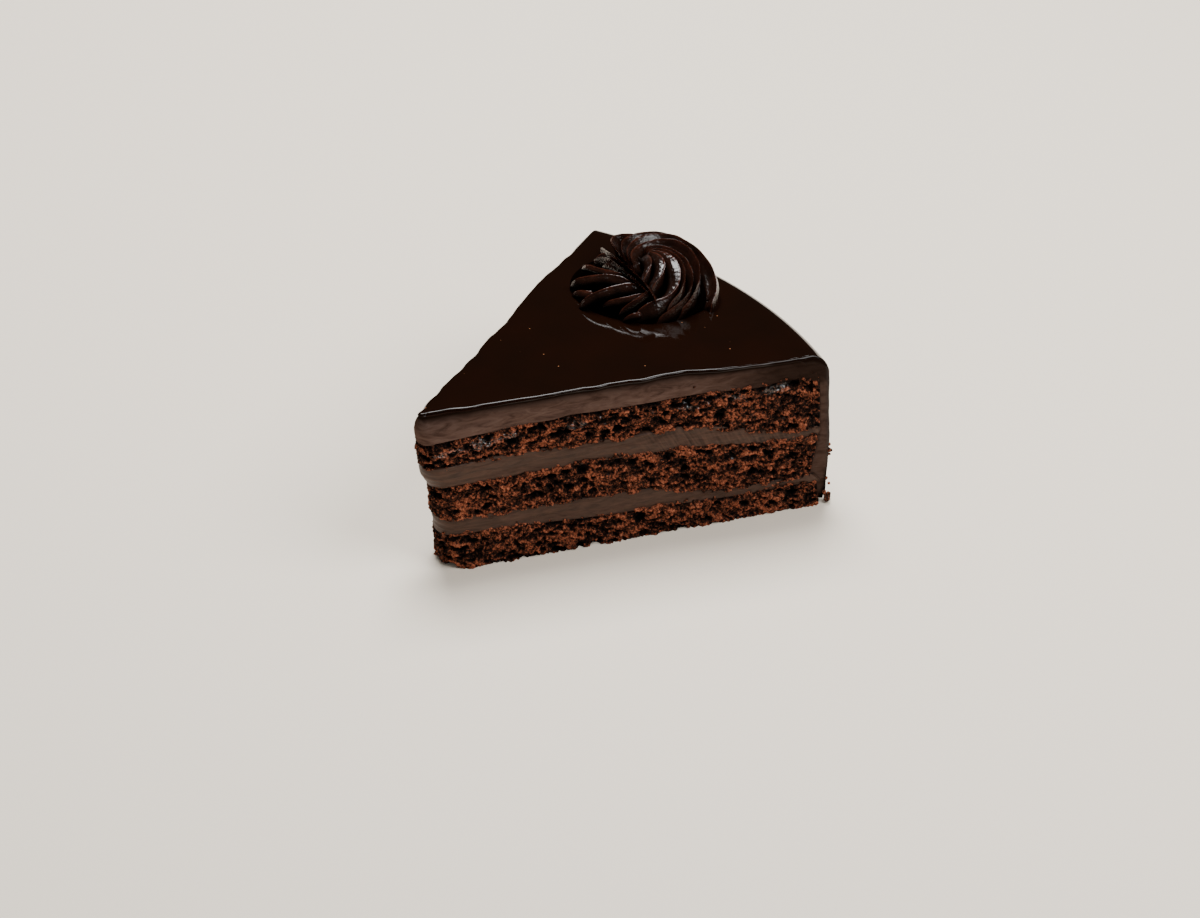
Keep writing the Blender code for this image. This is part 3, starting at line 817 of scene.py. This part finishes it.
# The fan's fingers: the width of each one's back and front side and its crest from the crease to its tip
FINGERS = (
    (1.1, 1.0, ((-5.0, 0.5, 5.8), (-7.9, 4.8, 5.0), (-9.4, 7.0, 4.3), (-10.9, 7.7, 3.6), (-11.9, 6.4, 3.2))),
    (1.2, 1.3, ((-3.1, -8.0, 6.8), (-4.9, -4.0, 6.4), (-7.0, 0.2, 5.4), (-9.7, 3.6, 3.8))),
    (0.9, 1.0, ((-4.6, -6.4, 6.2), (-8.0, -3.6, 5.4), (-11.1, -1.0, 4.6), (-12.9, 1.3, 4.0), (-14.9, 3.4, 2.8))),
    (1.3, 1.6, ((-2.6, -10.4, 6.4), (-5.5, -7.8, 6.6), (-9.0, -6.3, 6.0), (-13.3, -5.0, 4.6), (-15.8, -4.1, 3.4),
                (-17.7, -3.0, 1.8))),
    (1.4, 1.8, ((0.6, -13.0, 6.4), (-2.4, -11.0, 6.8), (-6.3, -11.4, 6.0), (-10.4, -12.0, 5.0), (-13.4, -12.0, 3.2),
                (-15.6, -11.4, 1.0))),
    (1.2, 1.0, ((0.6, -14.2, 6.0), (-3.1, -15.2, 5.2), (-6.6, -15.0, 4.4), (-10.0, -13.6, 2.2))),
    (1.8, 0.8, ((1.9, -14.4, 6.9), (0.7, -14.6, 6.6), (-1.0, -15.9, 5.4), (-3.4, -17.0, 4.2), (-5.9, -17.0, 2.4))),
    (0.9, 0.8, ((-0.4, -18.4, 2.8), (-3.1, -18.6, 2.2), (-4.9, -18.1, 0.9))),
    (1.2, 1.2, ((-12.0, -9.4, 2.8), (-14.6, -8.2, 2.4), (-17.2, -6.0, 0.9))),
)


def bent(points):
    """A smooth line near these points: they are joined by straight stretches, spaced evenly, and then each inner
    point moves to the mean of its neighbours a number of times."""
    points = np.array(points)
    run = np.concatenate([[0.0], np.cumsum(np.linalg.norm(np.diff(points, axis=0), axis=1))])
    even = np.linspace(0.0, run[-1], max(int(run[-1] / 0.3), 24))
    line = np.stack([np.interp(even, run, column) for column in points.T], -1)
    for _ in range(22):
        line[1:-1] = (line[:-2] + line[2:]) / 2
    return line


def lobe(line, inner, outer, depth, falls, ends, valley, lean, blade, seed):
    """One lobe of the rope: a closed skin round its crest line, and a number that falls from 1 on the crest to 0 on
    the flanks and to -1 in the grooves, which paints light on the crest and shade in the grooves and sets the shine.

    Its cross-section is upright: an oval, inner and outer wide on the right and left of the crest and twice depth
    high, less a fall to each side, with a thin raised lip for the crest and a valley half way in. It leans, so that
    its crest overhangs on the left. Where blade is above 0 both flanks are hollow. Towards its ends it shrinks round
    its middle as a circle does, over the two lengths in ends.
    """
    turn = np.linspace(-1.0, 1.0, LOBE_COLUMNS, endpoint=False)
    turn = np.pi * np.sign(turn) * np.abs(turn) ** 1.4
    turn = np.roll(turn, -LOBE_COLUMNS // 2)
    run = np.concatenate([[0.0], np.cumsum(np.linalg.norm(np.diff(line, axis=0), axis=1))])
    way = np.gradient(line[:, :2], axis=0)
    way /= np.linalg.norm(way, axis=1)[:, None]
    left = np.stack([-way[:, 1], way[:, 0]], -1)
    near = np.clip(np.minimum(run / ends[0], (run[-1] - run) / ends[1]), 0.0, 1.0)[:, None]
    scale = np.sqrt(np.maximum(1 - (1 - near) ** 2, 0.0006))
    inner, outer, depth, lean, blade = (np.broadcast_to(part, run.shape)[:, None] for part in (
        inner, outer, depth, lean, blade))
    half_turn = np.abs(turn) / (np.pi / 2)
    side = np.sin(turn) * np.where(turn > 0, outer, inner) * np.minimum(half_turn, 1.0) ** blade
    rise = depth * (np.cos(turn) - 1) - np.abs(side) * np.where(turn > 0, falls[1], falls[0])
    rise = rise + 0.40 * np.exp(-np.abs(side) / 0.2 - 0.5 * blade)
    rise = rise - valley * (1 - np.cos(2 * np.pi * np.sin(turn))) / 2 * ((turn < 0) & (turn > -np.pi / 2))
    side = side + lean * rise
    side, rise = side * scale, (rise + depth) * scale - depth
    plan = line[:, None, :2] + left[:, None] * side[..., None]
    grid = raised(plan, line[:, None, 2] + rise)
    skin = stacked(run[:, None], side, rise)
    grid[..., 2] += 0.07 * drift(skin, (4.0, 1.0, 1.0), seed) + 0.05 * drift(skin, 0.7, seed + 1)
    # Painted shade in the grooves, left out of the broad valley
    groove_shade = ease(0.45, 0.95, half_turn) * (1 - valley / VALLEY_DEPTH)
    return grid, np.exp(-np.abs(side) / 0.24) * (half_turn < 1) - groove_shade


def rope():
    """The ribs of the rope, from the eye outwards. Each one's inner side reaches most of the way to the rib before
    it. A burst bubble has left a small round hole in the broad hollow at the right."""
    lines = [bent(points) for points in RIBS]
    for number, (line, shape) in enumerate(zip(lines, RIB_SHAPES, strict=True)):
        widest, widest_end, outer_end, end_length, blade, fall = shape
        towards_end = ease(0.55, 0.85, np.linspace(0.0, 1.0, len(line)))
        inner = mix(widest, widest_end, towards_end)
        if number:
            gap = line[:, None, :2] - lines[number - 1][None, :, :2]
            inner = np.clip(0.85 * np.linalg.norm(gap, axis=-1).min(1), 0.6, inner)
        for _ in range(12):
            inner[1:-1] = (inner[:-2] + inner[2:]) / 2
        valley = (number == VALLEY_RIB) * towards_end
        grid, crest = lobe(
            line, inner, mix(0.35, outer_end, towards_end), np.minimum(0.5 * inner + 2.2, 3.6),
            (fall * (1 - valley[:, None]), 0.5), (1.2, end_length), VALLEY_DEPTH * valley[:, None],
            (0.45 if number > 7 else 0.2) * (1 - towards_end), blade * (1 - valley), 40 + 2 * number,
        )
        hole = np.hypot(grid[..., 0] - BUBBLE[0], grid[..., 1] - BUBBLE[1])
        grid[..., 2] -= 1.2 * bell(hole, 0.45)
        yield grid, crest


def fan():
    """The fan's fingers: round lobes, each with a fine crest."""
    for number, (back, front, points) in enumerate(FINGERS):
        yield lobe(
            bent(points), back, front, 0.5 * (back + front), (0.2, 0.2), (0.8, 3.2), 0.0, 0.0, 0.0, 70 + 2 * number
        )


def core():
    """A low dome on the rosette's ellipse, with the torn hollow of the eye, that closes the rosette below. Away from
    the eye it takes the painted shade of the grooves, where it shows between the ribs.
    """
    angle = np.linspace(0.0, -2 * math.pi, 260, endpoint=False)
    inward = np.linspace(1.0, 0.05, 90)[:, None, None] ** 1.6
    local = mix(EYE, ROSETTE_CENTRE + ROSETTE_HALF * 0.99 * turned(angle), inward)
    share = np.linalg.norm((local - ROSETTE_CENTRE) / ROSETTE_HALF, axis=-1)
    from_eye = np.linalg.norm(local - EYE, axis=-1)
    height = 7.4 * np.maximum(1 - share**2.6, 0.0) ** 0.6 * mix(0.2, 0.6, ease(-7.0, 1.0, local[..., 0])) + 0.1
    torn = bell(from_eye, 2.6)
    spots = raised(local, 0.0)
    height = height + torn * (4.3 + 0.7 * drift(spots, 0.9, 32) + 0.4 * drift(spots, 0.45, 33))
    height = height - 2.2 * bell(from_eye, 0.8)
    dome = raised(local, height)
    return np.concatenate([dome[:1] - np.array([0, 0, 0.8]), dome]), np.concatenate([torn[:1], torn]) * 1.3 - 1


def rosette(look):
    """The piped rosette: the lobes of its rope and the fan's fingers over a low core, set on the glaze."""
    low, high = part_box("rosette")
    origin = np.array([(low.x + high.x) / 2, (low.y + high.y) / 2]) / MM - frame_shift()[:2] + ROSETTE_OFFSET
    axes = turned(ROSETTE_TURN + np.array([0.0, math.pi / 2]))
    # Each part's crest numbers paint light on its crests and shade in its grooves and on the core
    placed, crests = [], []
    for part, crest in (*rope(), *fan(), core()):
        plan = origin + part[..., :2] @ axes
        grid = raised(plan, glaze_height(plan) + np.maximum(part[..., 2], -0.7))
        placed.append((grid, grid[0].mean(0), grid[-1].mean(0)))
        crests.append(crest)
    return closed_surface("rosette_piped", placed, {"crest": crests}, look, ["rosette"])


# ---------------------------------------------------------------- the crumbs

# Crumbs that cling to the slice: along, across, height and radius of each
CRUMBS = (
    (1.0, 0.018, 0.7, 0.8), (1.0, 0.040, 0.5, 0.6), (1.0, 0.008, 2.0, 0.5), (1.0, 0.070, 0.3, 0.4),
    (1.0, 0.004, 14.6, 0.6), (1.0, 0.006, 16.0, 0.45), (1.0, 0.004, 13.4, 0.35), (1.0, 0.006, 5.0, 0.35),
    (0.28, 0.0, 0.6, 0.7), (0.31, 0.0, 0.4, 0.5), (0.60, 0.0, 0.4, 0.4), (0.86, 0.0, 0.5, 0.5),
    (0.655, 0.0, 38.3, 0.32), (0.992, 0.0, 1.0, 0.7), (0.985, 0.0, 3.0, 0.5), (0.99, 0.0, 7.0, 0.4),
)


def crumbs(look):
    """Loose crumbs that cling to the foot of the slice and to its coat: balls made lumpy by smooth noise."""
    rise = np.linspace(0.08, 0.92, 12)[:, None] * math.pi
    angle = np.linspace(0.0, -2 * math.pi, 18, endpoint=False)[None]
    ball = stacked(np.sin(rise) * np.cos(angle), np.sin(rise) * np.sin(angle), -np.cos(rise))
    parts = []
    for number, (along, across, height, radius) in enumerate(CRUMBS):
        spot = slice_point(*(np.array(value) for value in (along, across, height, CAKE_RADIUS)))
        lump = 1 + 0.30 * drift(ball, 0.9, 900 + number) + 0.22 * drift(ball, 0.4, 950 + number)
        grid = np.array([*spot, height]) + radius * lump[..., None] * ball
        grid[..., 2] = np.maximum(grid[..., 2], 0.02)
        parts.append((grid, grid[0].mean(0), grid[-1].mean(0)))
    # The loose crumbs all take one fixed, high share of the painted light on the crumb
    looks = {
        title: [np.full(lump.shape, value)] * len(parts)
        for title, value in (("relief_light_and_shade", 0.8), ("tone", 0.4), ("wet", 0.0))
    }
    return closed_surface("loose_crumbs", parts, looks, look, [])


# ---------------------------------------------------------------- settings


class CakeColours(bpy.types.PropertyGroup):
    """Colours of the slice's materials."""

    def _colour(title, text, colour):
        return FloatVectorProperty(
            name=title, description=text, subtype="COLOR", size=3, min=0, max=1, default=linear(colour)[:3]
        )

    crumb: _colour("Crumb", "Sponge between its hollows", "#42271A")
    # Painted shade low in the crumb's relief, mixed with darker grains
    crumb_dark: _colour("Dark crumb", "Moist or shaded crumb of the sponge", "#1C0C08")
    # Painted light on crumb that stands out, mixed with the grains' own warm tone
    crumb_warm: _colour("Warm crumb", "Crumb that stands out of the cut", "#AE6044")
    # Painted highlight on the crumb that stands out most
    crumb_highlight: _colour("Bright crumb", "Thin torn edges of the crumb", "#D08562")
    # Painted shade deep in the sponge's hollows
    hollow: _colour("Hollow", "Inside of the sponge's hollows", "#060201")
    filling: _colour("Filling", "Sliced filling", "#432F25")
    filling_dark: _colour("Dark filling", "Smears in the filling", "#281912")
    filling_pale: _colour("Pale filling", "Fat drawn out by the knife", "#553C30")
    sliced: _colour("Sliced ganache", "Cut face of the coat", "#56423A")
    sliced_dark: _colour("Dark sliced ganache", "Smears on the coat's cut face", "#3A2A24")
    # Painted shade on the coat's cut face by the rim, under its edge and inside; also the darker end of its wall
    sliced_shade: _colour("Shaded sliced ganache", "Cut face of the coat by the rim and under its edge", "#160D08")
    sliced_pale: _colour("Pale sliced ganache", "Streaks on the coat's cut face", "#66524A")
    glaze: _colour("Glaze", "Poured ganache", "#120804")
    glaze_warm: _colour("Warm glaze", "Poured ganache where it is thin", "#170904")
    speck: _colour("Speck", "Crumb dust on the glaze", "#8A5A3C")
    piped: _colour("Rosette", "Piped ganache", "#140A06")
    # Painted shade deep in the rosette's grooves and on its core
    piped_groove_shade: _colour("Deep rosette", "Piped ganache in the grooves", "#040201")
    # Painted light in brown on the rosette's thin crests
    piped_crest_light: _colour("Rosette crests", "Piped ganache drawn out thin on the crests", "#402016")
    piped_warm: _colour("Warm rosette", "Piped ganache where it is thin", "#22110B")


class CakeStage(bpy.types.PropertyGroup):
    """The floor, lights and camera."""

    azimuth: FloatProperty(
        name="Azimuth", description="Way round from which the camera looks; 0 looks along +Y",
        subtype="ANGLE", default=math.radians(-39.75),
    )
    elevation: FloatProperty(
        name="Elevation", description="Camera's angle above the floor", subtype="ANGLE",
        default=math.radians(35.3),
    )
    distance: FloatProperty(
        name="Distance", description="From the camera to the point it looks at", unit="LENGTH", default=0.95885
    )
    lens: FloatProperty(name="Lens", description="Focal length", unit="CAMERA", default=115.5)
    aim: FloatVectorProperty(
        name="Aim", description="Point on the floor that the camera looks at", unit="LENGTH",
        default=(0.0100, 0.00589, 0.0),
    )
    floor: FloatVectorProperty(
        name="Floor", description="Colour of the floor", subtype="COLOR", default=linear("#F6EAD8")[:3]
    )
    key_power: FloatProperty(
        name="Key", description="Power of the large soft light on the right", unit="POWER", default=6.5
    )
    back_power: FloatProperty(
        name="Back", description="Power of the soft light high behind the slice", unit="POWER", default=14.0
    )
    fill_power: FloatProperty(
        name="Fill", description="Power of the soft light beside the camera", unit="POWER", default=8.4
    )
    air: FloatProperty(name="Surroundings", description="Brightness of the studio's dim walls", default=0.02)


class CakeSettings(bpy.types.PropertyGroup):
    """All settings of the slice."""

    colours: PointerProperty(name="Colours", type=CakeColours)
    stage: PointerProperty(name="Stage", type=CakeStage)


# ---------------------------------------------------------------- operators


class CAKE_OT_sponge(bpy.types.Operator):
    """Makes the three sponge layers"""

    bl_idname = "cake.sponge"
    bl_label = "Sponge layers"

    def execute(self, context):
        look = sponge_material(context.scene.cake.colours)
        for number, name in enumerate(("sponge_bottom", "sponge_middle", "sponge_top")):
            sponge(name, 100 * (number + 1), look)
        return {"FINISHED"}


class CAKE_OT_fillings(bpy.types.Operator):
    """Makes the two layers of filling"""

    bl_idname = "cake.fillings"
    bl_label = "Fillings"

    def execute(self, context):
        look = filling_material(context.scene.cake.colours)
        for number, name in enumerate(("filling_lower", "filling_upper")):
            filling(name, 500 + 50 * number, look)
        return {"FINISHED"}


class CAKE_OT_coat(bpy.types.Operator):
    """Makes the ganache coat"""

    bl_idname = "cake.coat"
    bl_label = "Ganache coat"

    def execute(self, context):
        coat(coat_material(context.scene.cake.colours))
        return {"FINISHED"}


class CAKE_OT_rosette(bpy.types.Operator):
    """Makes the piped rosette"""

    bl_idname = "cake.rosette"
    bl_label = "Rosette"

    def execute(self, context):
        rosette(rosette_material(context.scene.cake.colours))
        return {"FINISHED"}


class CAKE_OT_crumbs(bpy.types.Operator):
    """Makes the loose crumbs; the sponge layers are made first"""

    bl_idname = "cake.crumbs"
    bl_label = "Loose crumbs"

    def execute(self, context):
        look = bpy.data.materials.get("baked_cocoa_sponge") or sponge_material(context.scene.cake.colours)
        crumbs(look)
        return {"FINISHED"}


def aimed(name, data, aim, way, rise, far):
    """A camera or light that looks at the point aim, from this angle round it, this angle above the floor and this
    far away."""
    out = Vector((math.sin(way) * math.cos(rise), -math.cos(way) * math.cos(rise), math.sin(rise)))
    made = bpy.data.objects.new(name, data)
    made.location = aim + out * far
    made.rotation_euler = (-out).to_track_quat("-Z", "Y").to_euler()
    bpy.context.scene.collection.objects.link(made)
    return made


class CAKE_OT_stage(bpy.types.Operator):
    """Makes the floor, the lights and the camera"""

    bl_idname = "cake.stage"
    bl_label = "Floor, lights and camera"

    def execute(self, context):
        stage = context.scene.cake.stage
        mesh = bpy.data.meshes.new("studio_floor")
        half = 4.0  # m
        mesh.from_pydata([(-half, -half, 0), (half, -half, 0), (half, half, 0), (-half, half, 0)], [], [(0, 1, 2, 3)])
        made, _tree = started("matte_studio_floor", Roughness=0.7, Base_Color=(*stage.floor, 1))
        mesh.materials.append(made)
        floor = bpy.data.objects.new("studio_floor", mesh)
        context.scene.collection.objects.link(floor)

        aim = Vector(stage.aim)
        lens = bpy.data.cameras.new("camera")
        lens.lens, lens.sensor_width = stage.lens, 36.0
        lens.clip_start, lens.clip_end = 0.05, 20.0
        context.scene.camera = aimed("camera", lens, aim, stage.azimuth, stage.elevation, stage.distance)

        def lamp(name, turn, rise, far, size, power):
            """A square soft light, this many degrees round the slice from the camera."""
            data = bpy.data.lights.new(name, "AREA")
            data.shape, data.size, data.energy = "SQUARE", size, power
            return aimed(name, data, aim, stage.azimuth + math.radians(turn), math.radians(rise), far)

        lamp("key_light", turn=70, rise=50, far=0.9, size=0.5, power=stage.key_power)
        lamp("back_light", turn=185, rise=65, far=0.9, size=0.46, power=stage.back_power)
        fill = lamp("fill_light", turn=-20, rise=40, far=2.0, size=2.6, power=stage.fill_power)
        fill.visible_glossy = False  # it brightens the cut faces without being mirrored in the glaze
        world = bpy.data.worlds.new("studio")
        world.use_nodes = True
        world.node_tree.nodes["Background"].inputs["Color"].default_value = (1, 1, 1, 1)
        world.node_tree.nodes["Background"].inputs["Strength"].default_value = stage.air
        context.scene.world = world
        return {"FINISHED"}


OPERATORS = (CAKE_OT_sponge, CAKE_OT_fillings, CAKE_OT_coat, CAKE_OT_rosette, CAKE_OT_crumbs, CAKE_OT_stage)


class CAKE_PT_panel(bpy.types.Panel):
    """Lists the slice's pieces and settings"""

    bl_idname = "CAKE_PT_panel"
    bl_label = "Chocolate cake slice"
    bl_space_type = "VIEW_3D"
    bl_region_type = "UI"
    bl_category = "Cake"

    def draw(self, context):
        settings = context.scene.cake
        for operator in OPERATORS:
            self.layout.operator(operator.bl_idname)
        for group in (settings.colours, settings.stage):
            for name in group.__annotations__:
                self.layout.prop(group, name)


CLASSES = (CakeColours, CakeStage, CakeSettings, *OPERATORS, CAKE_PT_panel)


def register():
    for kind in CLASSES:
        bpy.utils.register_class(kind)
    bpy.types.Scene.cake = PointerProperty(type=CakeSettings)


def unregister():
    del bpy.types.Scene.cake
    for kind in reversed(CLASSES):
        bpy.utils.unregister_class(kind)


def main():
    register()
    bpy.ops.cake.sponge()
    bpy.ops.cake.fillings()
    bpy.ops.cake.coat()
    bpy.ops.cake.rosette()
    bpy.ops.cake.crumbs()
    bpy.ops.cake.stage()


if __name__ == "__main__":
    main()
